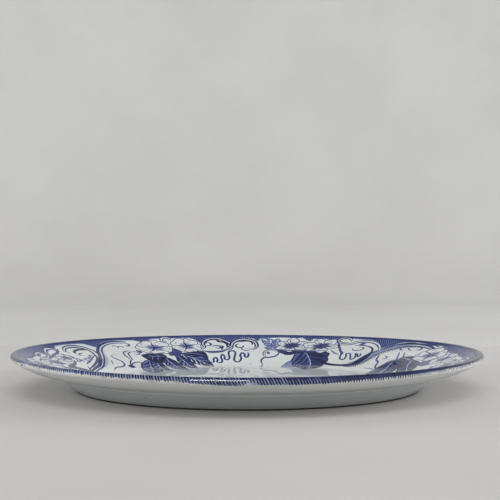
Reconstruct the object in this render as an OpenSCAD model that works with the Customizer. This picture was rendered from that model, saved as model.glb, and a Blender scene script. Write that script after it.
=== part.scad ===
// Oval serving platter in glazed, transfer-printed earthenware.
// The body, the two printed bands and the three glaze coats are turned from one section,
// then squeezed to the oval. Millimetres, +Z up, the foot's bearing face at Z = 0.

/* [Oval] */
// Length over the rim, along X
platter_l = 400; // [380:5:440]
// Width over the rim, along Y
platter_w = 308; // [270:2:350]
// Height from the table to the top of the rim
platter_h = 31; // [30:0.5:34]

/* [Well] */
// Length of the flat floor of the well, along X
floor_l = 236; // [216:4:244]
// Height of the floor of the well above the table
floor_z = 5; // [4.6:0.1:5.6]

/* [Rim] */
// Thickness of the rounded edge of the rim
lip_t = 5.2; // [4.8:0.1:5.8]
// Length over the inner edge of the border, where it bends down into the well
shoulder_l = 320; // [314:1:324]
// Height of that bend above the table
shoulder_z = 17; // [16.4:0.2:18]

/* [Back] */
// Length over the moulded bead where the back of the rim meets the wall
bead_l = 317; // [312:1:320]
// Height of that bead above the table
bead_z = 12; // [11.4:0.2:12.6]

/* [Foot] */
// Length over the foot ring, along X
foot_l = 293; // [286:1:296]
// Width of the foot ring's bearing face
foot_w = 4; // [3:0.5:6]
// Depth of the recess inside the foot ring
recess = 1.2; // [1:0.1:1.4]

/* [Coats] */
// Thickness of the clear glaze
glaze_t = 0.5; // [0.4:0.05:0.6]
// Thickness of the printed colour under the glaze
print_t = 0.4; // [0.35:0.05:0.5]

/* [Hidden] */
$fn = 96;

squeeze = platter_w / platter_l;
rim_r = platter_l / 2;
floor_r = floor_l / 2;
bead_r = bead_l / 2;
foot_r = foot_l / 2;

// The top of the rim, the widest point, and where the rounded edge turns under
crest = [rim_r - 2.5, platter_h];
widest = [rim_r, platter_h - 2.5];
under = [rim_r - 1.9, platter_h - lip_t];
// The border's outer and inner edges on the face
border_out = [rim_r - 5.5, platter_h - 1];
shoulder = [shoulder_l / 2, shoulder_z];
// The bead is a low rounded ridge between the back of the rim and the wall
ridge = 0.45;
above_bead = [bead_r + 1.1, bead_z + 0.8];
below_bead = [bead_r - 0.3, bead_z - 0.9];
// The glaze stops a little above the table, on both sides of the foot ring
glaze_stop = 0.6;
foot_lean = 0.4;
foot_in_r = foot_r - foot_w - 2 * foot_lean;

// A cubic curve through n steps, without its first point
function curve(a, b, c, d, n) = [
    for (i = [1:n])
        let (t = i / n, s = 1 - t)
            s * s * s * a + 3 * s * s * t * b + 3 * s * t * t * c + t * t * t * d
];

// The outside of the glazed section, from the middle of the well out over the rim
// and back under to the middle of the base, one stretch at a time
floor_line = [[0, floor_z], [floor_r * 0.5, floor_z], [floor_r, floor_z]];
well_side = curve([floor_r, floor_z], [floor_r + 20, floor_z], shoulder - [13, 3.8], shoulder, 12);
border = curve(shoulder, shoulder + [12, 3.5], border_out - [10, 6.6], border_out, 9);
edge_top = curve(border_out, border_out + [1, 0.6], crest - [1.1, 0], crest, 3);
edge_out = concat(
    curve(crest, crest + [1.4, 0], widest + [0, 1.4], widest, 6),
    curve(widest, widest - [0, 1.3], under + [1.2, 0.8], under, 5)
);
rim_back = curve(under, under - [10, 6.8], above_bead + [17, 3], above_bead, 8);
bead = curve(above_bead, above_bead - [0.2, 2 * ridge], below_bead + [2 * ridge, 0.4], below_bead, 4);
wall = curve(below_bead, below_bead - [2.2, 3.2], [foot_r + 4.5, 3.6], [foot_r + 0.6, 1.5], 6);
foot_side = [[foot_r, glaze_stop]];
bearing = [[foot_r - foot_lean, 0], [foot_r - foot_lean - foot_w, 0]];
foot_inside = [[foot_in_r, glaze_stop]];
base = [
    [foot_in_r - 1, recess - 0.2],
    [foot_in_r - 2.4, recess],
    [foot_in_r * 0.5, recess],
    [0, recess]
];

section = concat(
    floor_line, well_side, border, edge_top, edge_out,
    rim_back, bead, wall, foot_side, bearing, foot_inside, base
);

// Where one coat ends and the next begins, as places along the section
print_start = len(floor_line) + 2;
border_end = len(floor_line) + len(well_side) + len(border);
edge_end = border_end + len(edge_top) + len(edge_out);
foot_top = edge_end + len(rim_back) + len(bead) + len(wall);
foot_end = foot_top + len(foot_side) + len(bearing);
last = len(section) - 1;

// The section's outward direction at place i
function heading(i) =
    let (run = section[min(i + 1, last)] - section[max(i - 1, 0)])
        [-run.y, run.x] / norm(run);

// The point at place i, a depth of d into the section
function sunk(i, d) = section[i] - d * heading(i);
function stretch(from, to, d) = [for (i = [from:to]) sunk(i, d)];
function stretch_back(from, to, d) = [for (i = [to:-1:from]) sunk(i, d)];

// Turns an outline, a quarter at a time, and squeezes each quarter to the platter's oval
module oval_turned(outline) {
    for (quarter = [0:3])
        scale([1, squeeze, 1])
            rotate(quarter * 90)
                rotate_extrude(angle = 90)
                    polygon(outline);
}

// A coat that follows the section from one place to another, between two depths
module coat(from, to, top, bottom) {
    oval_turned(concat(stretch(from, to, top), stretch_back(from, to, bottom)));
}

module fired_body() {
    color([0.86, 0.83, 0.76])
        oval_turned(concat(
            stretch(0, print_start, glaze_t),
            stretch(print_start, edge_end - 1, glaze_t + print_t),
            stretch(edge_end - 1, foot_top, glaze_t),
            stretch(foot_top, foot_end, 0),
            stretch(foot_end, last, glaze_t)
        ));
}

module border_print() {
    color([0.22, 0.27, 0.5])
        coat(print_start, border_end, glaze_t, glaze_t + print_t);
}

module edge_print() {
    color([0.1, 0.13, 0.3])
        coat(border_end, edge_end - 1, glaze_t, glaze_t + print_t);
}

module face_glaze() {
    color([0.88, 0.91, 0.92])
        coat(0, edge_end - 1, 0, glaze_t);
}

module back_glaze() {
    color([0.8, 0.81, 0.78])
        coat(edge_end - 1, foot_top, 0, glaze_t);
}

module base_glaze() {
    color([0.8, 0.81, 0.78])
        coat(foot_end, last, 0, glaze_t);
}

fired_body();
border_print();
edge_print();
face_glaze();
back_glaze();
base_glaze();
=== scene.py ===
"""Oval serving platter: glazed skins, printed border and bare foot, with stage, lights and camera."""
import math

import bpy
import numpy as np
from mathutils import Euler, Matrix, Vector


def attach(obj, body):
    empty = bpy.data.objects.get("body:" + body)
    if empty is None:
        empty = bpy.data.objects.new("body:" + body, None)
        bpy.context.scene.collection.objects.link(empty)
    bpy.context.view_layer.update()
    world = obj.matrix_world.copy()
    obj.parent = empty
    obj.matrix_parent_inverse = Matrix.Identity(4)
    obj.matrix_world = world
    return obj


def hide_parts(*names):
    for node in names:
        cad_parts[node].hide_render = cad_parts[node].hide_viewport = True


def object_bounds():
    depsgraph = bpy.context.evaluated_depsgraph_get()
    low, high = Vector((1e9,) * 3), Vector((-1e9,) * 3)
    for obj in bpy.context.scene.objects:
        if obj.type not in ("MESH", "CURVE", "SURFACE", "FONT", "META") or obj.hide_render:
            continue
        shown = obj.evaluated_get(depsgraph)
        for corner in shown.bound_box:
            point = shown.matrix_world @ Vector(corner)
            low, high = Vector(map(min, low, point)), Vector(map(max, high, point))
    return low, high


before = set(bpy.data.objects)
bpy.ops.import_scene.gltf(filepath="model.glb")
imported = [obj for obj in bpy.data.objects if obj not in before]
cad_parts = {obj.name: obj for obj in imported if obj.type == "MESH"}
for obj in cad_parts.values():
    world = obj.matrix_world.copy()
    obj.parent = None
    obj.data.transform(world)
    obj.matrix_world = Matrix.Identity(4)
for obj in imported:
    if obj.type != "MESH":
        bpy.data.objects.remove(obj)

cad_box = [list(corner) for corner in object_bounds()]
MM = 0.001
# Half the oval's length and width and the height of its rim, from the frame, to a tenth of a mm
HALF_LENGTH, HALF_WIDTH, RIM_HEIGHT = (round(reach / MM, 1) for reach in cad_box[1])

# ---------------------------------------------------------------- the section, in millimetres

# Places are given as (distance from the middle along X, height); the oval is a circle squeezed along Y
SQUEEZE = HALF_WIDTH / HALF_LENGTH
CREST = (HALF_LENGTH - 2.5, RIM_HEIGHT)
WIDEST = (HALF_LENGTH, RIM_HEIGHT - 2.5)
UNDER = (HALF_LENGTH - 1.9, RIM_HEIGHT - 5.2)
BORDER_OUT = (HALF_LENGTH - 5.5, RIM_HEIGHT - 1)
SHOULDER = (160.0, 17.0)
WELL_EDGE = (118.0, 5.0)
ABOVE_BEAD = (159.6, 12.8)
BELOW_BEAD = (158.2, 11.1)
WALL_END = (147.6, 1.9)
# The glaze stops here, on the rounded outer edge of the foot
FOOT_TOP = (147.05, 1.35)
BEARING_OUT = (145.6, 0.0)
BEARING_IN = (143.2, 0.0)
# Inside the foot the glaze starts again here, and the base is flat from its edge inwards
FOOT_IN = (141.7, 0.6)
BASE_EDGE = (139.3, 1.2)
# The kiln lifted both ends of the rim and let its sides down by this much
KILN_WARP = 1.0
WARP_FROM = 140.0
GLAZE_T = 0.5


def cubic(a, b, c, d, steps=60):
    """Points along a cubic curve, without its first point."""
    t = np.linspace(0, 1, steps + 1)[1:, None]
    s = 1 - t
    a, b, c, d = (np.array(p, float) for p in (a, b, c, d))
    return s**3 * a + 3 * s * s * t * b + 3 * s * t * t * c + t**3 * d


def straight(a, b, steps=20):
    """Points along a line, without its first point."""
    t = np.linspace(0, 1, steps + 1)[1:, None]
    return (1 - t) * np.array(a, float) + t * np.array(b, float)


def offset(point, dr, dz):
    """A place given from another one."""
    return (point[0] + dr, point[1] + dz)


# From the crest in over the border to the middle of the well
top_line = np.vstack([
    [CREST],
    cubic(CREST, offset(CREST, -1.1, 0), offset(BORDER_OUT, 1, 0.6), BORDER_OUT),
    cubic(BORDER_OUT, offset(BORDER_OUT, -10, -6.6), offset(SHOULDER, 12, 3.5), SHOULDER, 120),
    cubic(SHOULDER, offset(SHOULDER, -13, -3.8), offset(WELL_EDGE, 20, 0), WELL_EDGE, 120),
    straight(WELL_EDGE, (0, WELL_EDGE[1]), 60),
])
# From the crest out over the edge, down the back to the foot, and in under the base
under_line = np.vstack([
    [CREST],
    cubic(CREST, offset(CREST, 1.4, 0), offset(WIDEST, 0, 1.4), WIDEST),
    cubic(WIDEST, offset(WIDEST, 0, -1.3), offset(UNDER, 1.2, 0.8), UNDER),
    cubic(UNDER, offset(UNDER, -10, -6.8), offset(ABOVE_BEAD, 17, 3), ABOVE_BEAD, 90),
    cubic(ABOVE_BEAD, offset(ABOVE_BEAD, -0.2, -0.9), offset(BELOW_BEAD, 0.9, 0.4), BELOW_BEAD),
    cubic(BELOW_BEAD, offset(BELOW_BEAD, -2.2, -3.2), offset(WALL_END, 3.4, 2.1), WALL_END, 60),
    cubic(WALL_END, offset(WALL_END, -0.2, -0.18), offset(WALL_END, -0.4, -0.38), FOOT_TOP, 12),
    cubic(FOOT_TOP, offset(FOOT_TOP, -0.35, -0.6), offset(BEARING_OUT, 0.8, 0.1), BEARING_OUT, 20),
    straight(BEARING_OUT, BEARING_IN, 12),
    cubic(BEARING_IN, offset(BEARING_IN, -0.9, 0.02), offset(FOOT_IN, 0.2, -0.4), FOOT_IN, 20),
    cubic(FOOT_IN, offset(FOOT_IN, -0.4, 0.4), offset(BASE_EDGE, 1.3, 0), BASE_EDGE, 20),
    straight(BASE_EDGE, (0, BASE_EDGE[1]), 60),
])


def lengths(line):
    """How far along a line each of its points is."""
    return np.concatenate([[0], np.cumsum(np.hypot(*np.diff(line, axis=0).T))])


top_v = lengths(top_line)
under_v = -lengths(under_line)
# v runs along the section from the crest: positive in over the face, negative out and under
section_v = np.concatenate([under_v[::-1], top_v[1:]])
section_r = np.concatenate([under_line[::-1, 0], top_line[1:, 0]])
section_z = np.concatenate([under_line[::-1, 1], top_line[1:, 1]])


def under_at(radius, height):
    """v of the place under the crest nearest to a point of the section."""
    near = np.argmin(np.hypot(under_line[:, 0] - radius, under_line[:, 1] - height))
    return under_v[near]


V_CENTRE = top_v[-1]
V_LIP = under_at(*UNDER)
V_BEAD = under_at(*ABOVE_BEAD)
V_WALL = under_at(*BELOW_BEAD)
V_FOOT_OUT = under_at(*FOOT_TOP)
V_FOOT_IN = under_at(*FOOT_IN)
V_BASE = under_v[-1]

# ---------------------------------------------------------------- the rim, measured along the crest

turn = np.linspace(0, 2 * math.pi, 7201)
crest_x = CREST[0] * np.sin(turn)
crest_y = CREST[0] * SQUEEZE * np.cos(turn)
crest_a = lengths(np.stack([crest_x, crest_y], axis=1))
AROUND = crest_a[-1]
HALF = AROUND / 2


def surface(a, v):
    """The points of the glaze a mm round the rim from the middle of the far side, v mm from the crest."""
    angle = np.interp(np.mod(a, AROUND), crest_a, turn)
    r = np.interp(v, section_v, section_r)
    z = np.interp(v, section_v, section_z)
    reach = np.clip((r - WARP_FROM) / (WIDEST[0] - WARP_FROM), 0, 1) ** 2
    z = z - KILN_WARP * reach * np.cos(2 * angle)
    return np.stack([r * np.sin(angle), SQUEEZE * r * np.cos(angle), z], axis=-1)


def place(a, v, lift=0.0):
    """Points on the glaze, lifted off it, and the way that the glaze faces there."""
    a, v, lift = np.broadcast_arrays(np.asarray(a, float), np.asarray(v, float), np.asarray(lift, float))
    # One step to each side gives the slope; near the axis it is taken a little farther out
    step, clear = 0.12, 0.4
    inner = np.minimum(v + step, V_CENTRE - clear)
    outer = np.maximum(inner - 2 * step, V_BASE + clear)
    inner = outer + 2 * step
    middle = 0.5 * (inner + outer)
    along = surface(a + step, middle) - surface(a - step, middle)
    across = surface(a, inner) - surface(a, outer)
    normal = np.cross(across, along)
    normal /= np.linalg.norm(normal, axis=-1, keepdims=True)
    return surface(a, v) + normal * lift[..., None], normal

# ---------------------------------------------------------------- drawing the print
# The border is drawn flat, in (a, v), and stands twice round the rim, half a turn apart.

# Lines are cut this much heavier than given, and more so towards the ends of the oval
LINE_WEIGHT = 1.4
END_WEIGHT = 0.5
END_FROM, END_RUN = 150, 80
draw = np.random.default_rng(11)
strokes = []
washes = []


def smooth(points, step=1.0, closed=False):
    """Evenly spaced places on a smooth line through a few points."""
    p = np.array(points, float)
    if closed:
        p = np.vstack([p[-1], p, p[0], p[1]])
    else:
        p = np.vstack([2 * p[0] - p[1], p, 2 * p[-1] - p[-2]])
    parts = []
    for p0, p1, p2, p3 in zip(p, p[1:], p[2:], p[3:]):
        t0, t1, t2 = (max(np.hypot(*(e - s)), 0.1) ** 0.5 for s, e in ((p0, p1), (p1, p2), (p2, p3)))
        m1 = p2 - p1 + t1 * ((p1 - p0) / t0 - (p2 - p0) / (t0 + t1))
        m2 = p2 - p1 + t1 * ((p3 - p2) / t2 - (p3 - p1) / (t1 + t2))
        steps = max(2, int(round(np.hypot(*(p2 - p1)) / step)))
        t = np.linspace(0, 1, steps, endpoint=False)[:, None]
        parts.append(
            (2 * t**3 - 3 * t**2 + 1) * p1 + (t**3 - 2 * t**2 + t) * m1
            + (3 * t**2 - 2 * t**3) * p2 + (t**3 - t**2) * m2
        )
    parts.append(p[-2][None])
    return np.vstack(parts)


def inside(points, outline):
    """Which points lie within a closed outline."""
    x, y = points[:, :1], points[:, 1:]
    x1, y1 = outline[:, 0][None], outline[:, 1][None]
    x2, y2 = np.roll(x1, -1, axis=1), np.roll(y1, -1, axis=1)
    span = (y1 > y) != (y2 > y)
    rise = np.where(y2 == y1, 1e-9, y2 - y1)
    return (np.sum(span & (x < (x2 - x1) * (y - y1) / rise + x1), axis=1) % 2).astype(bool)


def edge_distance(points, outline):
    """How far points are from a closed outline."""
    start, end = outline[None], np.roll(outline, -1, axis=0)[None]
    run = end - start
    t = np.sum((points[:, None] - start) * run, axis=2) / np.maximum(np.sum(run * run, axis=2), 1e-9)
    nearest = start + np.clip(t, 0, 1)[..., None] * run
    return np.min(np.linalg.norm(points[:, None] - nearest, axis=2), axis=1)


def runs(keep):
    """The stretches of places that are kept, as first and last + 1."""
    edges = np.flatnonzero(np.diff(np.concatenate([[0], keep.astype(int), [0]])))
    return [(s, e) for s, e in zip(edges[::2], edges[1::2]) if e - s >= 3]


def cover(outline):
    """Clears the lines drawn so far from a shape that lies over them."""
    kept = []
    low, high = outline.min(axis=0), outline.max(axis=0)
    for path, width, tone, kind in strokes:
        if np.any(path.max(axis=0) < low) or np.any(path.min(axis=0) > high):
            kept.append((path, width, tone, kind))
            continue
        for s, e in runs(~inside(path, outline)):
            kept.append((path[s:e], width[s:e], tone, kind))
    strokes[:] = kept


def ink(path, width, tone, taper=0.3, kind="line"):
    """A line of ink along a path, thinner towards its ends."""
    s = np.linspace(0, 1, len(path))
    lead = max(taper, 1e-6)
    ends = np.clip(np.minimum(s, 1 - s) / lead, 0, 1) ** 0.7
    weight = 1
    if kind == "line":
        weight = LINE_WEIGHT + END_WEIGHT * np.clip((np.abs(path[:, 0]) - END_FROM) / END_RUN, 0, 1)
    strokes.append((path, weight * width * (0.25 + 0.75 * ends), tone, kind))


def line(points, width=1.0, tone=0.85, taper=0.3):
    """A smooth line of ink through a few points."""
    ink(smooth(points), width, tone, taper)


def fill(outline, tone, soft=0.7):
    """A wash of colour within an outline."""
    washes.append((np.array(outline, float), tone, soft))


def sideways(path):
    """Unit steps square to a path, to the right of its run."""
    run = np.gradient(path, axis=0)
    run /= np.maximum(np.linalg.norm(run, axis=1, keepdims=True), 1e-9)
    return np.stack([run[:, 1], -run[:, 0]], axis=1)


def blot(points, tone=0.95):
    """A patch of solid colour with a firm edge."""
    outline = smooth(points, closed=True)
    cover(outline)
    fill(outline, tone, 0.5)
    ink(outline, 0.8, tone, 0.02)


def hatch(outline, angle, pitch, width, tone):
    """Fine parallel lines within an outline."""
    c, s = math.cos(math.radians(angle)), math.sin(math.radians(angle))
    turned = outline @ np.array([[c, -s], [s, c]])
    (x0, y0), (x1, y1) = turned.min(axis=0), turned.max(axis=0)
    for y in np.arange(y0 + pitch / 2, y1, pitch):
        x = np.arange(x0 + draw.uniform(0, 0.8), x1, 0.8)
        if len(x) < 3:
            continue
        path = np.stack([x, np.full(len(x), y + draw.uniform(-0.15, 0.15))], axis=1)
        path = path @ np.array([[c, s], [-s, c]])
        for first, last in runs(inside(path, outline)):
            ink(path[first:last], width, tone, 0.25, "hatch")


def band(points, width, outer=1.1, inner=0.8, body=0.03, tone=0.85, tips=0.5):
    """A scroll: a pale band between a strong line and a light one."""
    path = smooth(points)
    s = np.linspace(0, 1, len(path))
    half = 0.5 * width * (tips + (1 - tips) * np.sin(math.pi * s) ** 0.6)
    side = sideways(path) * half[:, None]
    outline = np.vstack([path + side, (path - side)[::-1]])
    cover(outline)
    fill(outline, body, 0.4)
    ink(path + side, outer, tone, 0.2)
    ink(path - side, inner, tone - 0.12, 0.2)


def fringe(points, reach, pitch, width, tone, lean=0.3):
    """Short strokes standing off one side of a line."""
    path = smooth(points, pitch)
    side = sideways(path)
    run = np.stack([-side[:, 1], side[:, 0]], axis=1)
    s = np.linspace(0, 1, len(path))
    for start, out, on, part in zip(path, side, run, s):
        size = reach * (0.35 + 0.65 * math.sin(math.pi * part)) * draw.uniform(0.85, 1.1)
        end = start + (out + on * lean) * size
        ink(np.linspace(start, end, max(3, int(abs(size) / 0.9) + 2)), width, tone, 0.5, "hatch")


def leaf(base, tip, width, bend, light, dark, veins, swell=0.85):
    """A veined leaf: one half in shade, dark wedges between its veins, and a pale midrib."""
    base, tip = np.array(base, float), np.array(tip, float)
    length = np.hypot(*(tip - base))
    square = np.array([tip[1] - base[1], base[0] - tip[0]]) / length
    middle = smooth([base, (base + tip) / 2 + square * bend, tip])
    s = np.linspace(0, 1, len(middle))
    half = 0.5 * width * np.sin(math.pi * s**swell) ** 0.85 * (1 + 0.05 * np.sin(s * veins * 2 * math.pi))
    side = sideways(middle) * half[:, None]
    left, right = middle + side, middle - side
    outline = np.vstack([left, right[::-1]])
    cover(outline)
    fill(outline, light, 0.5)
    fill(np.vstack([left, middle[::-1]]), 0.5 * (dark + light), 0.5)
    last = len(middle) - 1
    for i in range(veins):
        root = 0.06 + 0.78 * i / veins
        end = min(root + 0.26, 0.97)
        a, b = int(root * last), int(end * last)
        for edge, tone, size in ((left, dark + 0.08, 0.2), (right, dark - 0.1, 0.26)):
            reach = middle[a] + (edge[b] - middle[a]) * 0.94
            knee = middle[(a + b) // 2] + (edge[(a + b) // 2] - middle[(a + b) // 2]) * 0.42
            ink(smooth([middle[a], knee, reach], 0.8), size * length / veins, tone, 0.45)
    ink(middle[:-2], 0.84, 0.22, 0.4)
    ink(left, 1.2, dark, 0.1)
    ink(right, 1.2, dark, 0.1)


def flower(centre, reach, petals, start, pointed=False, heart=0.9, shade=0.32):
    """An open flower: white petals with shading lines that run out from a dark heart."""
    centre, reach = np.array(centre, float), np.array(reach, float)

    def at(radius, angle):
        return centre + reach * radius * np.array([math.cos(angle), math.sin(angle)])

    behind = smooth([at(0.42, start + (i + 0.5) * 2 * math.pi / petals) for i in range(petals)], closed=True)
    cover(behind)
    fill(behind, 0.8, 1.5)
    half = math.pi / petals
    order = list(range(0, petals, 2)) + list(range(1, petals, 2))
    for k in order:
        turn_k = start + 2 * half * k + draw.uniform(-0.08, 0.08)
        size = draw.uniform(0.92, 1.06)
        spread = draw.uniform(1.08, 1.24) * half
        if pointed:
            shape = [(0.1, 0), (0.38, -0.75), (0.66, -0.9), (0.86, -0.5), (1.02, 0), (0.86, 0.5),
                     (0.66, 0.9), (0.38, 0.75)]
        else:
            shape = [(0.1, 0), (0.42, -0.72), (0.78, -0.96), (0.97, -0.6), (0.92, -0.08), (0.99, 0.5),
                     (0.8, 0.96), (0.42, 0.72)]
        outline = smooth([at(r * size, turn_k + f * spread) for r, f in shape], closed=True)
        cover(outline)
        fill(outline, 0.02, 0.4)
        fill(smooth([at(r * 0.42, turn_k + f * 0.5 * spread) for r, f in shape], closed=True), shade, 1.5)
        ink(outline, 0.75, 0.8, 0.02)
        rays = 4 if pointed else 3
        for i in range(rays):
            f = (i - (rays - 1) / 2) / rays * 1.2
            out = draw.uniform(0.42, 0.85 if pointed else 0.6)
            path = smooth([at(0.16, turn_k + f * half * 0.7), at(out, turn_k + f * half)], 0.8)
            ink(path, 0.85 if pointed else 0.6, 0.8 if pointed else 0.5, 0.6)
        # A fold of shade near the edge of the petal
        fold = [at(r, turn_k + f * spread) for r, f in ((0.62, -0.55), (0.76, -0.2), (0.7, 0.1))]
        ink(smooth(fold, 0.8), 0.9, 0.34, 0.5)
    outline = smooth([at(0.12, i * math.pi / 3) for i in range(6)], closed=True)
    cover(outline)
    fill(outline, heart, 0.6)
    ink(outline, 0.9, heart, 0.02)
    for i in range(7):
        ink(smooth([at(0.1, i * 0.9), at(0.22, i * 0.9 + 0.1)], 0.6), 0.7, 0.85, 0.5)


def curl(centre, radius, first, sweep, width, tone, tighten=0.45):
    """A small curled line that tightens as it turns."""
    angles = np.radians(np.linspace(first, first + sweep, 8))
    shrink = np.linspace(1, tighten, 8)
    line([(centre[0] + radius * k * math.cos(t), centre[1] + radius * k * math.sin(t))
          for t, k in zip(angles, shrink)], width, tone)


# The ground: a hatched band along the rim that hangs down in wedges between the scrolls
GROUND = [
    (-276, 15), (-264, 14), (-256, 17), (-248, 13), (-238, 15), (-226, 10), (-217, 10), (-212, 6),
    (-190, 6), (-178, 7), (-174, 9), (-168, 15), (-165, 16), (-160, 12), (-154, 8), (-146, 6),
    (-135, 6), (-118, 7), (-108, 12), (-103, 10), (-98, 6), (-84, 6), (-56, 6), (-50, 10),
    (-45, 21), (-41, 13), (-38, 8), (-30, 6), (-22, 7),
    (-17, 12), (-12, 18), (-8, 11), (0, 7), (8, 7), (14, 9), (18, 15), (21, 8), (44, 6), (60, 7), (66, 6),
    (72, 11), (76, 13), (78, 8), (90, 7), (98, 9), (103, 13), (107, 7), (120, 5), (132, 6), (142, 6),
    (150, 9), (156, 14), (162, 22), (168, 16), (174, 9), (180, 6), (196, 4), (206, 6), (213, 11), (217, 6),
    (228, 6), (236, 8), (242, 12), (254, 14), (262, 12), (276, 15),
]
ground = np.array([(-276, 2.6)] + GROUND + [(276, 2.6)], float)
fill(ground, 0.54, 0.8)
hatch(ground, 66, 2.1, 0.95, 0.95)

# The big scroll frame at the left
band([(-236, 57), (-218, 54), (-202, 49), (-189, 41), (-182, 31), (-179, 22), (-183, 14), (-193, 10),
      (-204, 11), (-212, 17)], 5, 1.5, 1.4, tone=0.92, tips=0.2)
band([(-238, 61), (-222, 58), (-205, 54), (-190, 45), (-178, 34), (-169, 23), (-160, 15), (-149, 10),
      (-138, 9), (-127, 11)], 4, 2.3, 1.3, body=0.12, tips=0.7)
fringe([(-215, 59), (-200, 54), (-186, 46), (-174, 33), (-166, 22)], -3.5, 1.7, 0.55, 0.7)
line([(-182, 19), (-190, 17), (-197, 18), (-203, 22), (-203, 25)], 2.4, 0.9)
line([(-194, 25), (-199, 25), (-203, 28), (-200, 30)], 1.2)
line([(-206, 14), (-210, 18), (-208, 22)], 1.0, 0.7)
line([(-128, 12), (-127, 16), (-130, 18), (-132, 16)], 1.7, 0.86)
for sprig in (
    [(-222, 47), (-214, 45), (-208, 44)], [(-219, 44), (-217, 38), (-212, 40)],
    [(-211, 43), (-208, 37), (-203, 39)], [(-204, 41), (-199, 35), (-195, 38)],
    [(-197, 38), (-192, 31), (-188, 34)], [(-222, 47), (-206, 42), (-186, 33)],
):
    line(sprig, 1.3, 0.66)
curl((-145, 19), 4, 200, 250, 1.0, 0.66)
curl((-139, 20), 3.2, 190, 240, 0.9, 0.62)

# Leaf scroll and thin tendrils under the frame
line([(-160, 36), (-168, 38), (-170, 44), (-167, 52), (-170, 58), (-178, 61), (-188, 61), (-200, 66)],
     1.4, 0.62)
line([(-178, 47), (-182, 51), (-185, 55)], 0.9, 0.55)
band([(-151, 51), (-149, 42), (-144, 34), (-136, 31)], 5, 1.2, 1.2, tips=0.4)
line([(-150, 50), (-155, 53), (-160, 58), (-164, 63)], 1.2, 0.82)
blot([(-167, 61), (-163, 60), (-160, 63), (-163, 66), (-167, 65)], 0.86)
line([(-163, 62), (-157, 58), (-149, 56), (-138, 58)], 1.2, 0.8)
line([(-137, 33), (-131, 34), (-130, 39), (-134, 41), (-137, 38)], 1.3, 0.6)
blot([(-128, 30), (-124, 33), (-127, 38)], 0.85)

# Leaves of the first spray, then its flowers
leaf((-128, 54), (-170, 95), 23, 4, 0.46, 0.95, 5)
leaf((-118, 54), (-131, 95), 18, -3, 0.46, 0.96, 5)
leaf((-86, 46), (-80, 91), 17, 2, 0.42, 0.94, 5)
leaf((-104, 50), (-104, 97), 21, 2, 0.46, 0.96, 6)
leaf((-79, 47), (-47, 80), 22, 4, 0.1, 0.98, 5)
blot([(-131, 44), (-120, 41), (-106, 43), (-101, 48), (-108, 56), (-116, 62), (-126, 58), (-130, 51)], 0.98)
for vein in ([(-102, 49), (-113, 48), (-127, 48)], [(-109, 48), (-114, 44)], [(-111, 48), (-117, 56)],
             [(-117, 48), (-122, 44)], [(-119, 48), (-124, 54)]):
    line(vein, 0.5, 0.42)
blot([(-95, 47), (-86, 36), (-80, 30), (-77, 38), (-79, 46)], 0.75)
blot([(-78, 45), (-66, 42), (-50, 41), (-47, 50), (-49, 60), (-55, 52), (-66, 49)], 0.98)
line([(-76, 46), (-64, 45), (-51, 50)], 0.5, 0.42)
band([(-76, 10), (-80, 4.5), (-86, 6), (-87, 11), (-82, 13)], 3, 1.0, 0.8)
flower((-102, 26), (22, 19), 5, 0.4)
flower((-64, 25), (18, 19), 5, 0.2)
line([(-122, 40), (-110, 42), (-98, 41)], 1.2, 0.85)

# Two kidney scrolls and the ribbon under them
band([(-24, 38), (-16, 37), (-12, 29), (-14, 18), (-22, 10), (-31, 8), (-40, 12), (-44, 20), (-44, 28),
      (-50, 36)], 3.4, 1.4, 1.2, tone=0.92, tips=0.5)
line([(-41, 19), (-38, 13), (-33, 10), (-27, 10), (-25, 15), (-20, 16), (-17, 21), (-17, 29), (-19, 35)],
     2.3, 0.88)
line([(-40, 17), (-36, 18), (-35, 22), (-38, 25), (-41, 24)], 1.7, 0.8)
curl((-29, 30), 6, 200, 330, 1.7, 0.84, 0.3)
line([(-24, 24), (-22, 28), (-24, 33), (-25, 38)], 1.7, 0.8)
line([(-50, 38), (-44, 42), (-34, 43), (-24, 41), (-17, 36)], 2.2, 0.74)
band([(-18, 33), (-12, 26), (-10, 18), (-3, 11), (5, 10), (13, 14), (17, 22), (17, 31), (12, 39)],
     3.6, 1.5, 1.3, tone=0.92, tips=0.5)
line([(-10, 22), (-6, 16), (2, 14), (9, 14), (12, 18), (12, 24)], 2.2, 0.88)
curl((-1, 27), 7, 250, -300, 1.7, 0.82, 0.3)
line([(-1, 30), (0, 36), (4, 40), (10, 40)], 1.3, 0.6)
line([(4, 34), (8, 36), (13, 35)], 0.9, 0.5)
line([(-50, 64), (-42, 65), (-40, 58), (-36, 55), (-35, 60), (-37, 64), (-32, 67), (-29, 62), (-29, 54),
      (-26, 49), (-24, 54), (-25, 58), (-21, 60), (-18, 56), (-18, 48), (-16, 42), (-11, 41), (-9, 46),
      (-11, 55), (-12, 62), (-8, 66), (-4, 63), (-2, 57), (-3, 51), (0, 46), (3, 49), (3, 54), (6, 55),
      (8, 51), (7, 44)], 1.7, 0.76, 0.04)
line([(10, 70), (12, 72)], 1.6, 0.4)

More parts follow.
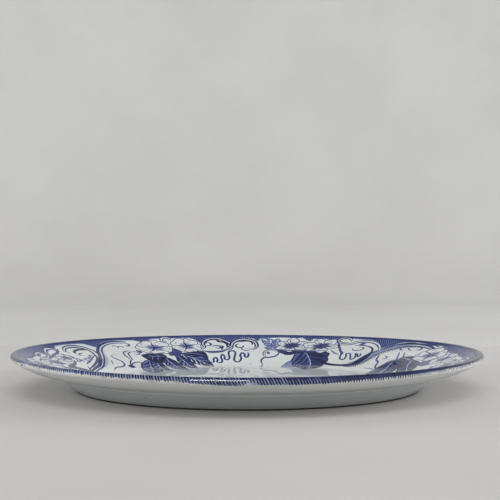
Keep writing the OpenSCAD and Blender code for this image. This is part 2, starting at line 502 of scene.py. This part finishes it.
# The second spray: bud, torn leaf, two pointed flowers and a big veined leaf
leaf((43, 34), (22, 8), 16, -2, 0.05, 0.55, 4)
leaf((44, 34), (40, 8), 12, 2, 0.08, 0.58, 4)
leaf((44, 35), (27, 30), 9, 1, 0.15, 0.65, 4)
blot([(43, 32), (50, 38), (56, 42), (54, 47), (47, 44), (41, 38)], 0.84)
line([(45, 38), (47, 46), (44, 52), (37, 55), (29, 56), (26, 61), (27, 68), (30, 75)], 1.7, 0.66)
band([(30, 54), (28, 46), (33, 39), (40, 38), (45, 44)], 3, 0.9, 0.7)
blot([(32, 47), (32, 45), (34, 44), (35, 46), (34, 48)], 0.7)
line([(30, 74), (28, 82), (31, 88)], 1.2, 0.55)
leaf((84, 56), (64, 92), 20, -3, 0.3, 0.62, 5)
leaf((75, 36), (112, 98), 45, 4, 0.6, 1.0, 6, swell=0.68)
blot([(54, 48), (60, 42), (76, 39), (96, 39), (104, 46), (96, 46), (84, 43), (72, 45), (62, 49)], 0.95)
flower((58, 25), (20, 19), 6, 0.5, pointed=True, shade=0.4)
flower((92, 24), (21, 19), 6, 0.1, pointed=True, shade=0.4)
line([(48, 40), (64, 38), (84, 39), (104, 36)], 1.8, 0.66)
line([(108, 34), (113, 38), (118, 42), (124, 44)], 1.6, 0.5)

# The stem that swells into a ribbed ribbon, and the scroll within it
RIBBED = [(146, 65), (156, 63), (163, 55), (165, 45), (165, 34), (169, 24), (176, 15), (187, 10), (200, 9)]
band(RIBBED, 9, 1.3, 1.1, body=0.34, tone=0.92, tips=0.4)
fringe([(r[0] + 4, r[1] + 2) for r in RIBBED], -6, 2.0, 1.1, 0.94, 0.15)
fringe([(r[0] - 1, r[1] - 1) for r in RIBBED], 4.5, 2.0, 1.1, 0.92, 0.1)
line([(98, 55), (108, 60), (118, 64), (134, 66), (150, 64), (159, 58), (162, 48), (162, 38)], 5.6, 1.0, 0.25)
line([(148, 60), (155, 55), (158, 46), (159, 36), (158, 31), (151, 22), (141, 18), (128, 18)], 1.8, 0.84)
band([(164, 26), (157, 17), (149, 11), (139, 9), (128, 11), (122, 16), (110, 18)], 3.6, 1.2, 0.9, tips=0.5)
curl((138, 25), 7.5, 170, -300, 1.4, 0.74, 0.35)
blot([(135, 12), (138, 13), (136, 17), (133, 16)], 0.6)
band([(122, 10), (117, 5), (109, 5), (106, 10), (112, 14), (119, 13)], 2.6, 1.1, 0.8)
line([(104, 8), (110, 18), (116, 28), (121, 35), (126, 42), (128, 49)], 2.0, 0.74)
line([(120, 34), (126, 39), (128, 47), (132, 53), (137, 53), (136, 47), (132, 41), (136, 40), (141, 46),
      (146, 52), (149, 50), (146, 43), (143, 39), (147, 41), (151, 46), (152, 43), (148, 37)],
     1.5, 0.72, 0.08)

# The scroll frame at the right
band([(172, 14), (182, 11), (196, 9), (211, 10), (224, 14), (231, 20)], 4, 1.9, 1.0, body=0.1, tips=0.3)
line([(176, 4.5), (186, 4), (200, 3.6), (214, 5), (226, 8)], 1.6, 0.82)
line([(202, 12), (207, 13), (208, 17), (204, 18)], 1.3, 0.7)
line([(183, 17), (187, 21), (190, 21)], 1.2, 0.6)
line([(191, 15), (196, 19), (200, 20)], 1.1, 0.55)
line([(173, 36), (177, 43), (181, 49), (187, 52), (191, 58), (196, 63), (206, 67)], 1.4, 0.62, 0.2)
line([(182, 39), (187, 40), (190, 44), (186, 46)], 1.1, 0.55)
line([(190, 26), (197, 34), (204, 41), (214, 48)], 1.3, 0.55)
line([(196, 25), (204, 33), (212, 40)], 1.1, 0.55)
line([(183, 67), (190, 66), (200, 67)], 1.2, 0.45)
leaf((204, 44), (240, 90), 30, -4, 0.4, 1.0, 6)
leaf((222, 44), (264, 68), 21, 3, 0.4, 1.0, 5)
leaf((206, 38), (240, 46), 15, 2, 0.55, 1.0, 6)
leaf((226, 38), (247, 56), 13, -2, 0.6, 1.0, 5)
blot([(246, 42), (252, 29), (257, 36), (266, 41), (258, 46)], 0.7)
flower((234, 24), (20, 17), 5, 0.5)
flower((263, 25), (13, 15), 5, 1.0, shade=0.4)

# Where the two halves meet: a loose flower, curled leaves and small scrolls at the left end
flower((-256, 32), (17, 15), 5, 0.3, heart=0.8, shade=0.4)
flower((-228, 29), (12, 11), 5, 0.9, heart=0.7, shade=0.4)
band([(-262, 16), (-254, 11), (-246, 12), (-243, 18), (-249, 21), (-255, 18)], 3.4, 1.2, 1.0, tips=0.4)
band([(-240, 20), (-237, 13), (-230, 8), (-222, 9), (-219, 14), (-224, 17)], 3.4, 1.2, 1.0, tips=0.4)
line([(-252, 24), (-243, 22), (-233, 19), (-224, 17), (-214, 11)], 1.8, 0.72)
line([(-274, 22), (-266, 20), (-260, 24), (-264, 29), (-271, 30)], 1.4, 0.7)
line([(-215, 24), (-219, 30), (-216, 36), (-221, 40), (-228, 39)], 1.3, 0.66)
line([(-226, 36), (-234, 41), (-246, 44), (-258, 48)], 1.6, 0.78)
blot([(-260, 45), (-251, 42), (-246, 46), (-252, 50)], 0.86)
leaf((-262, 48), (-270, 86), 20, 2, 0.46, 0.9, 5)
leaf((-250, 48), (-232, 82), 18, -2, 0.44, 0.88, 5)
line([(-226, 50), (-236, 58), (-246, 58), (-249, 68)], 1.4, 0.66)
line([(-272, 40), (-266, 44), (-262, 50)], 1.8, 0.8)

# ---------------------------------------------------------------- colour on the grids

# How far down the outside of the rim the print reaches, as (mm round the rim, v)
LOWEST_INK = [
    (0, -4.0), (60, -4.6), (130, -3.6), (200, -4.2), (260, -3.2), (300, -3.6), (400, -4.6), (450, -5.8),
    (500, -6.6), (531, -7.8), (545, -7.4), (561, -7.4), (575, -8.8), (590, -6.6), (610, -4.6), (680, -3.8),
    (750, -3.4), (800, -3.8), (850, -4.6), (930, -4.0), (1010, -4.8), (1103, -4.0),
]
# How deep the wash over the edge is, as (mm round the rim, tone)
EDGE_TONE = [
    (0, 0.42), (240, 0.66), (290, 0.92), (330, 1.0), (420, 1.0), (465, 0.96), (492, 0.8), (512, 0.45),
    (560, 0.34), (680, 0.4), (750, 0.5), (800, 0.66), (850, 0.52), (1103, 0.42),
]
# Gaps in the edge band and amber stains on it, as (mm round the rim, v, size, strength)
BARE = [
    (561, -6.6, 4.5, 1.0), (539, -7.4, 2.6, 1.0), (746, -3.6, 8, 0.7), (728, -3.4, 5, 0.6),
    (703, -3.2, 6, 0.5),
]
STAINS = [
    (663, -3.4, 3.2, 0.55), (645, -3.8, 6, 0.3), (626, -4.6, 4, 0.5), (608, -4.1, 3, 0.55),
    (583, -9.0, 0.8, 0.7), (728, -3.2, 4, 0.3), (770, -4.4, 7, 0.3), (808, -5, 9, 0.35),
    (90, -3, 5, 0.3), (333, -4, 3, 0.4), (1002, -4.4, 4, 0.45),
]


def ring(a, pairs):
    """A value that changes smoothly round the whole rim."""
    at, value = np.array(pairs, float).T
    return np.interp(np.mod(a, AROUND), at, value)


def spots(a, v, places):
    """How strongly each place lies under one of a few soft spots."""
    total = np.zeros(np.broadcast(a, v).shape)
    for at, high, size, strength in places:
        away = np.mod(a - at + HALF, AROUND) - HALF
        fall = (away / size) ** 2 + ((v - high) / (0.45 * size + 0.4)) ** 2
        total = np.maximum(total, strength * np.exp(-fall))
    return total


def edge_wash(a, v):
    """The pale blue that lies under the strokes over the edge of the rim."""
    tone = ring(a, EDGE_TONE)
    # Where the wash is solid it stops short, and the ends of the strokes show below it
    low = ring(a, LOWEST_INK) + 1.5 * np.clip((tone - 0.6) / 0.3, 0, 1)
    shown = np.clip((v - low) / 0.7, 0, 1) * np.clip((3.4 - v) / 0.8, 0, 1)
    return tone * shown * (1 - np.clip(spots(a, v, BARE), 0, 1))


def washed(columns, rows):
    """The depth of colour over the whole face, row by row."""
    a = columns * AROUND / len(columns)
    a, v = np.meshgrid(a, rows)
    flat = np.mod(a + HALF / 2, HALF) - HALF / 2
    places = np.stack([flat.ravel(), v.ravel()], axis=1)
    depth = np.zeros(len(places))
    for outline, tone, soft in washes:
        low, high = outline.min(axis=0) - soft, outline.max(axis=0) + soft
        near = np.flatnonzero(np.all((places > low) & (places < high), axis=1))
        if not len(near):
            continue
        away = edge_distance(places[near], outline) * np.where(inside(places[near], outline), 1, -1)
        share = np.clip(0.5 + away / (2 * soft), 0, 1)
        depth[near] += (tone - depth[near]) * share
    return np.maximum(depth.reshape(v.shape), edge_wash(a, v))


# ---------------------------------------------------------------- meshes

def add_mesh(name, points, faces, normals=None, **values):
    """A smooth mesh in metres, with a value for each point under each of the names given."""
    mesh = bpy.data.meshes.new(name)
    mesh.from_pydata((np.asarray(points) * MM).tolist(), [], faces)
    mesh.update()
    mesh.polygons.foreach_set("use_smooth", np.ones(len(mesh.polygons), bool))
    for key, value in values.items():
        layer = mesh.attributes.new(key, "FLOAT", "POINT")
        layer.data.foreach_set("value", np.asarray(value, np.float32).ravel())
    if normals is not None:
        mesh.normals_split_custom_set_from_vertices(np.asarray(normals).tolist())
    piece = bpy.data.objects.new(name, mesh)
    bpy.context.collection.objects.link(piece)
    return piece


def turned_piece(name, rows, lifts, columns, poles, shades=None):
    """A closed piece turned round the oval: one ring for each place on the section.

    poles is how many rows lead up to the axis, where a fan closes the piece; the rest lead out again.
    With none the rings close on each other, and with all of them the piece starts and ends on the axis.
    """
    rows, lifts = np.asarray(rows, float), np.asarray(lifts, float)
    a = np.arange(columns) * AROUND / columns
    grid, _ = place(a[None, :], rows[:, None], lifts[:, None])
    ring_count = len(rows)
    points = grid.reshape(-1, 3)
    index = np.arange(ring_count * columns).reshape(ring_count, columns)
    after = np.roll(index, -1, axis=1)
    pairs = [(i, i + 1) for i in range(ring_count - 1) if not (poles and i == poles - 1)]
    if not poles or poles < ring_count:
        pairs.append((ring_count - 1, 0))
    faces = []
    for i, j in pairs:
        faces += np.stack([index[i], index[j], after[j], after[i]], axis=1).tolist()
    extra = []
    caps = []
    if poles and poles < ring_count:
        caps = [(poles - 1, False), (poles, True)]
    elif poles:
        caps = [(0, True), (ring_count - 1, False)]
    for row, flip in caps:
        hub = len(points) + len(extra)
        extra.append(grid[row].mean(axis=0))
        fan = np.stack([index[row], np.full(columns, hub), after[row]], axis=1)
        faces += (fan[:, ::-1] if flip else fan).tolist()
    if extra:
        points = np.vstack([points, extra])
    values = {}
    for key, value in (shades or {}).items():
        full = np.zeros(len(points))
        full[:value.size] = value.ravel()
        values[key] = full
    return add_mesh(name, points, faces, **values)


# The ridge's sides go under the glaze, so it is made wider than the line it shows
INK_LIFT = 0.1
INK_SUNK = 0.04
INK_SPREAD = 1.3


def inked_piece(name, chosen, copies):
    """Raised strokes of ink: each a thin closed ridge that follows the glaze."""
    points, normals, tones, faces = [], [], [], []
    total = 0
    for shift in copies:
        for path, width, tone in chosen:
            centre, normal = place(path[:, 0] + shift, path[:, 1])
            run = np.gradient(centre, axis=0)
            side = np.cross(normal, run)
            side /= np.maximum(np.linalg.norm(side, axis=1, keepdims=True), 1e-9)
            half = (width * INK_SPREAD / 2)[:, None]
            bottom = normal * INK_SUNK
            trio = np.stack([centre + side * half - bottom, centre + normal * INK_LIFT,
                             centre - side * half - bottom], axis=1)
            count = len(path)
            points.append(trio.reshape(-1, 3))
            normals.append(np.repeat(normal, 3, axis=0))
            tones.append(np.full(count * 3, tone))
            first = total + 3 * np.arange(count - 1)
            for p, q in ((0, 1), (1, 2), (2, 0)):
                faces += np.stack([first + p, first + q, first + q + 3, first + p + 3], axis=1).tolist()
            faces.append([total + 2, total + 1, total])
            last = total + 3 * (count - 1)
            faces.append([last, last + 1, last + 2])
            total += 3 * count
    return add_mesh(name, np.vstack(points), faces, np.vstack(normals), ink=np.concatenate(tones))


FACE_COLUMNS = 1080
BACK_COLUMNS = 720
# Painted shade greys the glaze in the well, from the first of these v inwards; on the wall, from the bead
# down, the grey is partly the tint of pooled glaze and partly painted shade under the rim
WELL_SHADE_FROM, WELL_SHADE_RUN = 72, 25
WALL_POOL_AND_SHADE_RUN = 2.5

face_rows = np.concatenate([
    np.linspace(V_LIP, 4, 42, endpoint=False), np.arange(4, 88, 0.88),
    np.linspace(88, 110, 12, endpoint=False), np.linspace(110, V_CENTRE - 2, 14),
])
under_rows = np.concatenate([
    np.linspace(V_CENTRE - 2, 84, 12, endpoint=False), np.linspace(84, 6, 12, endpoint=False),
    np.linspace(6, V_LIP, 6),
])
columns = np.arange(FACE_COLUMNS)
face_ink = washed(columns, face_rows)

a_grid, v_grid = np.meshgrid(columns * AROUND / FACE_COLUMNS, face_rows)
glazed_face = turned_piece(
    "glazed_face",
    np.concatenate([face_rows, under_rows]),
    np.concatenate([np.zeros(len(face_rows)), np.full(len(under_rows), -GLAZE_T)]),
    FACE_COLUMNS, len(face_rows),
    {
        "ink": face_ink, "stain": spots(a_grid, v_grid, STAINS),
        # painted shade that greys the glaze in the well
        "pool_and_shade": 0.9 * np.clip((v_grid - WELL_SHADE_FROM) / WELL_SHADE_RUN, 0, 1),
    },
)

back_rows = np.concatenate([
    np.linspace(V_LIP, -14, 20, endpoint=False), np.linspace(-14, V_BEAD + 1.5, 24, endpoint=False),
    np.linspace(V_BEAD + 1.5, V_WALL - 1.5, 26, endpoint=False), np.linspace(V_WALL - 1.5, V_FOOT_OUT, 20),
])
a_grid, v_grid = np.meshgrid(np.arange(BACK_COLUMNS) * AROUND / BACK_COLUMNS, back_rows)
back_inner = back_rows[::-3]
glazed_back = turned_piece(
    "glazed_back",
    np.concatenate([back_rows, back_inner]),
    np.concatenate([np.zeros(len(back_rows)), np.full(len(back_inner), -GLAZE_T)]),
    BACK_COLUMNS, 0,
    {
        "ink": edge_wash(a_grid, v_grid), "stain": spots(a_grid, v_grid, STAINS),
        # pooled glaze tint and painted shade under the rim, on the wall below the bead
        "pool_and_shade": np.clip((V_BEAD + 0.5 - v_grid) / WALL_POOL_AND_SHADE_RUN, 0, 1),
    },
)

base_rows = np.concatenate([
    np.linspace(V_FOOT_IN, V_FOOT_IN - 4, 14, endpoint=False), np.linspace(V_FOOT_IN - 4, V_BASE + 2, 24),
])
base_inner = base_rows[::-2]
glazed_base = turned_piece(
    "glazed_base",
    np.concatenate([base_rows, base_inner]),
    np.concatenate([np.zeros(len(base_rows)), np.full(len(base_inner), -GLAZE_T)]),
    BACK_COLUMNS, len(base_rows),
)

body_rows = np.concatenate([
    np.linspace(V_CENTRE - 2, 100, 6, endpoint=False), np.linspace(100, 8, 24, endpoint=False),
    np.linspace(8, -10, 24, endpoint=False), np.linspace(-10, V_FOOT_OUT, 36, endpoint=False),
    np.linspace(V_FOOT_OUT, V_FOOT_IN, 30, endpoint=False), np.linspace(V_FOOT_IN, V_BASE + 2, 14),
])
bare = (body_rows <= V_FOOT_OUT + 1e-6) & (body_rows >= V_FOOT_IN - 1e-6)
fired_foot = turned_piece(
    "bare_fired_body", body_rows, np.where(bare, 0, -GLAZE_T), BACK_COLUMNS, len(body_rows),
)

lines = [(path, width, tone) for path, width, tone, kind in strokes if kind == "line"]
hatching = [(path, width, tone) for path, width, tone, kind in strokes if kind == "hatch"]
border_lines = inked_piece("border_lines", lines, (0, HALF))
border_hatching = inked_piece("border_hatching", hatching, (0, HALF))

# The strokes over the edge all lean the same way, and a plain line runs round inside them
edge_strokes = []
EDGE_PITCH = 2.1
EDGE_WIDTH = 1.42
EDGE_LEAN = 0.44
for k in range(int(AROUND / EDGE_PITCH)):
    at = k * EDGE_PITCH + draw.uniform(-0.2, 0.2)
    low = float(ring(at, LOWEST_INK)) + draw.uniform(-0.7, 0.5)
    gap = float(spots(np.array([at]), np.array([-6.0]), BARE)[0])
    low = low + (-4.6 - low) * min(1, 1.4 * gap) if low < -4.6 else low
    high = 3.0 + draw.uniform(-0.4, 0.5)
    v = np.linspace(high, low, max(8, int((high - low) / 0.32)))
    lean = at - (high - v) * EDGE_LEAN
    swell = np.sin(np.linspace(0.25, math.pi - 0.12, len(v))) ** 0.35
    width = EDGE_WIDTH * swell * draw.uniform(0.88, 1.12)
    edge_strokes.append((np.stack([lean, v], axis=1), width, draw.uniform(0.96, 1.0)))
# At the left end a second set of fine strokes lies across them
for at in np.arange(775, 900, 1.9):
    v = np.linspace(3.4, -2.6 + draw.uniform(-0.8, 0.8), 12)
    edge_strokes.append((np.stack([at + (3 - v) * 0.55, v], axis=1), np.full(12, 0.7), 0.8))

# The printed strip was joined at the left end, where its strokes smudge into each other
for _ in range(46):
    at, v = draw.uniform(742, 832), draw.uniform(-4.6, -1.0)
    size = draw.uniform(1.0, 3.4)
    path = np.stack([np.linspace(at, at - size, 7), np.linspace(v, v - draw.uniform(0, 1), 7)], axis=1)
    width = draw.uniform(0.6, 1.4) * np.sin(np.linspace(0.2, 2.9, 7))
    edge_strokes.append((path, width, draw.uniform(0.6, 0.95)))
edge_hatching = inked_piece("edge_hatching", edge_strokes, (0,))

loop = np.arange(0, AROUND + 1, 1.5)
wander = 3.1 + 0.18 * np.sin(loop / 37) + 0.1 * np.sin(loop / 11)
around_line = [(np.stack([loop, wander], axis=1), np.full(len(loop), 1.25), 0.86)]
edge_line = inked_piece("edge_line", around_line, (0,))

# ---------------------------------------------------------------- materials

WHITE_FACE = (0.80, 0.828, 0.828)
WHITE_BACK = (0.715, 0.742, 0.735)
# The grey-blue of the painted shade in the well, and on the wall below the bead, where it is partly pooled
# glaze
POOL_AND_SHADE_GREY = (0.5, 0.545, 0.56, 1)
# The colours of the print from bare glaze to the deepest ink
INK_STEPS = [
    (0.0, WHITE_FACE),
    (0.22, (0.370, 0.455, 0.670)),
    (0.5, (0.090, 0.135, 0.360)),
    (0.75, (0.025, 0.038, 0.160)),
    (1.0, (0.007, 0.010, 0.038)),
]


class Paint:
    """Builds one material's nodes."""

    def __init__(self, name):
        self.material = bpy.data.materials.new(name)
        self.material.use_nodes = True
        self.tree = self.material.node_tree
        self.shader = self.tree.nodes["Principled BSDF"]
        self.where = self.node("ShaderNodeTexCoord").outputs["Object"]

    def node(self, kind, inputs=None, **settings):
        made = self.tree.nodes.new(kind)
        for key, value in settings.items():
            setattr(made, key, value)
        for key, value in (inputs or {}).items():
            self.feed(made.inputs[key], value)
        return made

    def feed(self, socket, value):
        if isinstance(value, bpy.types.NodeSocket):
            self.tree.links.new(value, socket)
        else:
            socket.default_value = value

    def noise(self, scale, detail=3.0, rough=0.5):
        made = self.node("ShaderNodeTexNoise", {"Vector": self.where, "Scale": scale, "Detail": detail,
                                                "Roughness": rough})
        return made.outputs["Fac"]

    def cells(self, scale, feature="F1"):
        inputs = {"Vector": self.where, "Scale": scale}
        made = self.node("ShaderNodeTexVoronoi", inputs, feature=feature)
        return made.outputs["Distance"]

    def value(self, name):
        return self.node("ShaderNodeAttribute", attribute_name=name).outputs["Fac"]

    def between(self, value, low, high, to_low=0.0, to_high=1.0):
        made = self.node("ShaderNodeMapRange", {"Value": value, "From Min": low, "From Max": high,
                                                "To Min": to_low, "To Max": to_high})
        return made.outputs["Result"]

    def sum(self, a, b, operation="ADD"):
        return self.node("ShaderNodeMath", {0: a, 1: b}, operation=operation).outputs["Value"]

    def mix(self, share, a, b, blend="MIX"):
        made = self.node("ShaderNodeMix", data_type="RGBA", blend_type=blend)
        self.feed(made.inputs["Factor"], share)
        self.feed(made.inputs[6], a)
        self.feed(made.inputs[7], b)
        return made.outputs[2]

    def steps(self, value, stops):
        made = self.node("ShaderNodeValToRGB", {"Fac": value})
        elements = made.color_ramp.elements
        for spot, colour in stops[2:]:
            elements.new(spot)
        for element, (spot, colour) in zip(elements, stops):
            element.position = spot
            element.color = (*colour, 1)
        return made.outputs["Color"]

    def bumps(self, *layers):
        normal = None
        for height, depth in layers:
            made = self.node("ShaderNodeBump", {"Height": height, "Strength": 1.0, "Distance": depth})
            if normal:
                self.feed(made.inputs["Normal"], normal)
            normal = made.outputs["Normal"]
        self.feed(self.shader.inputs["Normal"], normal)
        self.feed(self.shader.inputs["Coat Normal"], normal)

    def finish(self, colour, roughness, coat, coat_roughness=0.06):
        self.feed(self.shader.inputs["Base Color"], colour)
        self.feed(self.shader.inputs["Roughness"], roughness)
        self.shader.inputs["Coat Weight"].default_value = coat
        self.shader.inputs["Coat Roughness"].default_value = coat_roughness
        self.shader.inputs["Coat IOR"].default_value = 1.6
        self.shader.inputs["Specular IOR Level"].default_value = 0.05 if coat else 0.5
        return self.material


def glaze(name, white, inked=True, haze=0.0):
    """Clear glaze over pale earthenware, with whatever print lies under it."""
    p = Paint(name)
    cloud = p.noise(22, 3, 0.55)
    grain = p.noise(950, 2, 0.6)
    dull = (white[0] * 0.93, white[1] * 0.945, white[2] * 0.94, 1)
    colour = p.mix(p.between(cloud, 0.35, 0.7), (*white, 1), dull)
    if inked:
        # The print took unevenly: it is mottled, and a little patchy
        patches = p.between(p.noise(120), 0.3, 0.7, 0.9, 1.06)
        mottle = p.sum(p.between(grain, 0.3, 0.75, 0.82, 1.1), patches, "MULTIPLY")
        depth = p.sum(p.value("ink"), mottle, "MULTIPLY")
        stops = [(0.0, white)] + INK_STEPS[1:]
        printed = p.steps(depth, stops)
        colour = p.mix(p.between(p.value("ink"), 0.0, 0.03), colour, printed)
        colour = p.mix(p.value("stain"), colour, (0.33, 0.235, 0.13, 1))
        # Painted shade greys the well, and the wall from the bead down to the foot, where the grey is partly
        # the tint of pooled glaze
        colour = p.mix(p.sum(p.value("pool_and_shade"), 0.68, "MULTIPLY"), colour, POOL_AND_SHADE_GREY)
    # Kiln specks and pinholes, far apart
    specks = p.between(p.cells(75), 0.035, 0.06, 1, 0)
    chosen = p.between(p.noise(31, 1), 0.6, 0.64)
    colour = p.mix(p.sum(specks, chosen, "MULTIPLY"), colour, (0.19, 0.15, 0.11, 1))
    # Crazing: hair lines that show only as a faint tint
    craze = p.between(p.cells(130, "DISTANCE_TO_EDGE"), 0.0, 0.02, 0.04, 0)
    colour = p.mix(craze, colour, (0.42, 0.36, 0.27, 1))
    roughness = p.between(p.noise(60, 2), 0.3, 0.7, 0.3, 0.42)
    p.bumps((p.noise(70, 2, 0.4), 0.00003), (p.noise(420, 2, 0.5), 0.0000012))
    return p.finish(colour, roughness, 1.0, 0.005 + haze)


def bisque(name):
    """Bare fired clay, worn, and painted near black over all but its bearing face: painted shade where the
    foot meets the table.
    """
    p = Paint(name)
    grain = p.noise(600, 4, 0.65)
    clay = p.mix(p.between(p.noise(40, 3), 0.35, 0.65), (0.34, 0.29, 0.23, 1), (0.42, 0.37, 0.30, 1))
    clay = p.mix(p.between(grain, 0.52, 0.72, 0, 0.55), clay, (0.15, 0.12, 0.095, 1))
    height = p.node("ShaderNodeSeparateXYZ", {"Vector": p.where}).outputs["Z"]
    # Painted shade: above its lowest fifth of a millimetre the clay turns near black, for the shadow where
    # the foot meets the table
    colour = p.mix(p.between(height, 0.00003, 0.0002, 0.0, 0.95), clay, (0.016, 0.016, 0.018, 1))
    pits = p.between(p.cells(420), 0.0, 0.22)
    p.bumps((grain, 0.00012), (pits, 0.0001))
    return p.finish(colour, p.between(grain, 0.3, 0.7, 0.72, 0.92), 0.0)


def ink_paint(name):
    """Cobalt ink under the same glaze: its depth of colour is kept with each line."""
    p = Paint(name)
    mottle = p.sum(p.between(p.noise(900, 2, 0.6), 0.3, 0.75, 0.86, 1.06),
                   p.between(p.noise(110), 0.3, 0.7, 0.9, 1.05), "MULTIPLY")
    colour = p.steps(p.sum(p.value("ink"), mottle, "MULTIPLY"), INK_STEPS)
    p.bumps((p.noise(70, 2, 0.4), 0.00003), (p.noise(420, 2, 0.5), 0.0000012))
    return p.finish(colour, p.between(p.noise(60, 2), 0.3, 0.7, 0.3, 0.42), 1.0, 0.015)


def stage_paint(name, way, table_end, table, floor, wall):
    """Plain matt paint, very slightly uneven: a table, and the floor and the wall beyond it."""
    p = Paint(name)
    spread = p.node("ShaderNodeSeparateXYZ", {"Vector": p.where}).outputs
    ahead = p.sum(p.sum(spread["X"], way[0], "MULTIPLY"), p.sum(spread["Y"], way[1], "MULTIPLY"))
    beyond = p.mix(p.between(spread["Z"], 0.0, 0.5), (*floor, 1), (*wall, 1))
    colour = p.mix(p.between(ahead, table_end - 0.004, table_end + 0.004), (*table, 1), beyond)
    cloud = p.between(p.noise(3, 4, 0.6), 0.35, 0.65, 0.97, 1.03)
    colour = p.mix(1.0, colour, cloud, "MULTIPLY")
    p.bumps((p.noise(350, 3), 0.00008))
    return p.finish(colour, 0.9, 0.0)


paints = {
    glazed_face: glaze("printed_glaze", WHITE_FACE),
    glazed_back: glaze("back_glaze_paint", WHITE_BACK, haze=0.03),
    glazed_base: glaze("base_glaze_paint", WHITE_BACK, inked=False, haze=0.03),
    fired_foot: bisque("bare_clay_with_painted_shade"),
}
border_ink = ink_paint("border_ink")
paints[border_lines] = border_ink
paints[border_hatching] = border_ink
paints[edge_hatching] = paints[edge_line] = ink_paint("edge_ink")
for piece, material in paints.items():
    piece.data.materials.append(material)

for piece, slot in (
    (glazed_face, "face_glaze"), (glazed_back, "back_glaze"), (glazed_base, "back_glaze"),
    (fired_foot, "earthenware"), (border_lines, "border_colour"), (border_hatching, "border_colour"),
    (edge_hatching, "edge_colour"), (edge_line, "edge_colour"),
):
    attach(piece, "root")
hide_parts("face_glaze")
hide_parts("back_glaze")
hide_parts("base_glaze")
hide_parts("fired_body")
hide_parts("border_print")
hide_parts("edge_print")

# ---------------------------------------------------------------- stage, lights and camera

CAMERA_AT = (-0.0377, -0.7163, 0.1136)
# Degrees up from straight down, and the small lean of the picture, in radians
CAMERA_TILT = 90.345
CAMERA_ROLL = 0.0024
camera_data = bpy.data.cameras.new("camera")
camera_data.lens = 59.72
camera_data.sensor_width = 36
camera_data.shift_x = 0.0024
camera_data.dof.use_dof = False
camera = bpy.data.objects.new("camera", camera_data)
bpy.context.collection.objects.link(camera)
camera.location = CAMERA_AT
away = math.atan2(-CAMERA_AT[0], -CAMERA_AT[1])
tilt = Euler((math.radians(CAMERA_TILT), 0, -away)).to_matrix()
roll = Euler((0, 0, CAMERA_ROLL)).to_matrix()
camera.rotation_euler = (tilt @ roll).to_euler()
bpy.context.scene.camera = camera

# The table ends TABLE_END metres from the middle, on the side away from the camera
BACK_WAY = (-CAMERA_AT[0] / math.hypot(*CAMERA_AT[:2]), -CAMERA_AT[1] / math.hypot(*CAMERA_AT[:2]))
TABLE_END = 0.318
TABLE = (0.645, 0.63, 0.62)
FLOOR = (0.68, 0.675, 0.665)
WALL = (0.71, 0.71, 0.705)

# A round stage: a flat floor that sweeps up into a wall, the same from every side
FLOOR_R = 1.35
COVE = 0.55
WALL_TOP = 1.3
profile = [(r, 0.0) for r in np.linspace(0.05, FLOOR_R, 24)]
for t in np.linspace(0.1, math.pi / 2, 14):
    profile.append((FLOOR_R + COVE * math.sin(t), COVE - COVE * math.cos(t)))
profile += [(FLOOR_R + COVE, z) for z in np.linspace(COVE + 0.05, WALL_TOP, 5)]
SPOKES = 96
stage_points = [(0, 0, 0)]
for r, z in profile:
    stage_points += [(r * math.cos(t), r * math.sin(t), z) for t in np.arange(SPOKES) * 2 * math.pi / SPOKES]
stage_faces = [(0, 1 + k, 1 + (k + 1) % SPOKES) for k in range(SPOKES)]
for i in range(len(profile) - 1):
    low, high = 1 + i * SPOKES, 1 + (i + 1) * SPOKES
    for k in range(SPOKES):
        after = (k + 1) % SPOKES
        stage_faces.append((low + k, high + k, high + after, low + after))
stage = add_mesh("stage", np.array(stage_points) / MM, stage_faces)
stage.data.materials.append(stage_paint("stage_paint", BACK_WAY, TABLE_END, TABLE, FLOOR, WALL))


def soft_light(name, at, towards, size, power, mirrored=False):
    """A rectangular soft light that points at a place; one that isn't mirrored shows in no gloss."""
    data = bpy.data.lights.new(name, "AREA")
    data.shape = "RECTANGLE"
    data.size, data.size_y = size
    data.energy = power
    light = bpy.data.objects.new(name, data)
    bpy.context.collection.objects.link(light)
    light.location = at
    light.visible_camera = False
    light.visible_glossy = mirrored
    light.rotation_mode = "QUATERNION"
    light.rotation_quaternion = (Vector(towards) - Vector(at)).to_track_quat("-Z", "Y")
    return light


# Diffuse light only: it fills the room evenly and leaves no shapes in the glaze
soft_light("overhead", (0, -0.1, 2.0), (0, 0, 0), (3.0, 3.0), 3.2)
soft_light("high front", (0, -1.1, 1.8), (0, 0, 0), (2.0, 0.8), 10.8)
soft_light("left", (-1.72, 0, 0.65), (0, 0, 0.65), (1.2, 0.7), 10.5)
soft_light("right", (1.72, 0, 0.65), (0, 0, 0.65), (1.2, 0.7), 17)
soft_light("back", (0, 1.3, 1.6), (0, 0, 0), (2.0, 0.8), 4)
# One strip that shows only in the gloss, as a bright line on the front of the rim
strip = soft_light("strip", (-0.35, -1.75, 0.62), (0, 0, 0.03), (0.7, 0.16), 18, mirrored=True)
strip.visible_diffuse = False

# The room's own light, a little stronger from the camera's side
world = bpy.data.worlds.new("world")
bpy.context.scene.world = world
world.use_nodes = True
nodes, links = world.node_tree.nodes, world.node_tree.links
sky = nodes["Background"]
sky.inputs["Color"].default_value = (0.985, 1.0, 1.0, 1)
way = nodes.new("ShaderNodeSeparateXYZ")
links.new(nodes.new("ShaderNodeTexCoord").outputs["Generated"], way.inputs["Vector"])
fade = nodes.new("ShaderNodeMapRange")
fade.interpolation_type = "SMOOTHSTEP"
for key, value in {"From Min": -0.9, "From Max": 0.7, "To Min": 0.31, "To Max": 0.19}.items():
    fade.inputs[key].default_value = value
links.new(way.outputs["Y"], fade.inputs["Value"])
links.new(fade.outputs["Result"], sky.inputs["Strength"])
bpy.context.scene.view_settings.view_transform = "Standard"
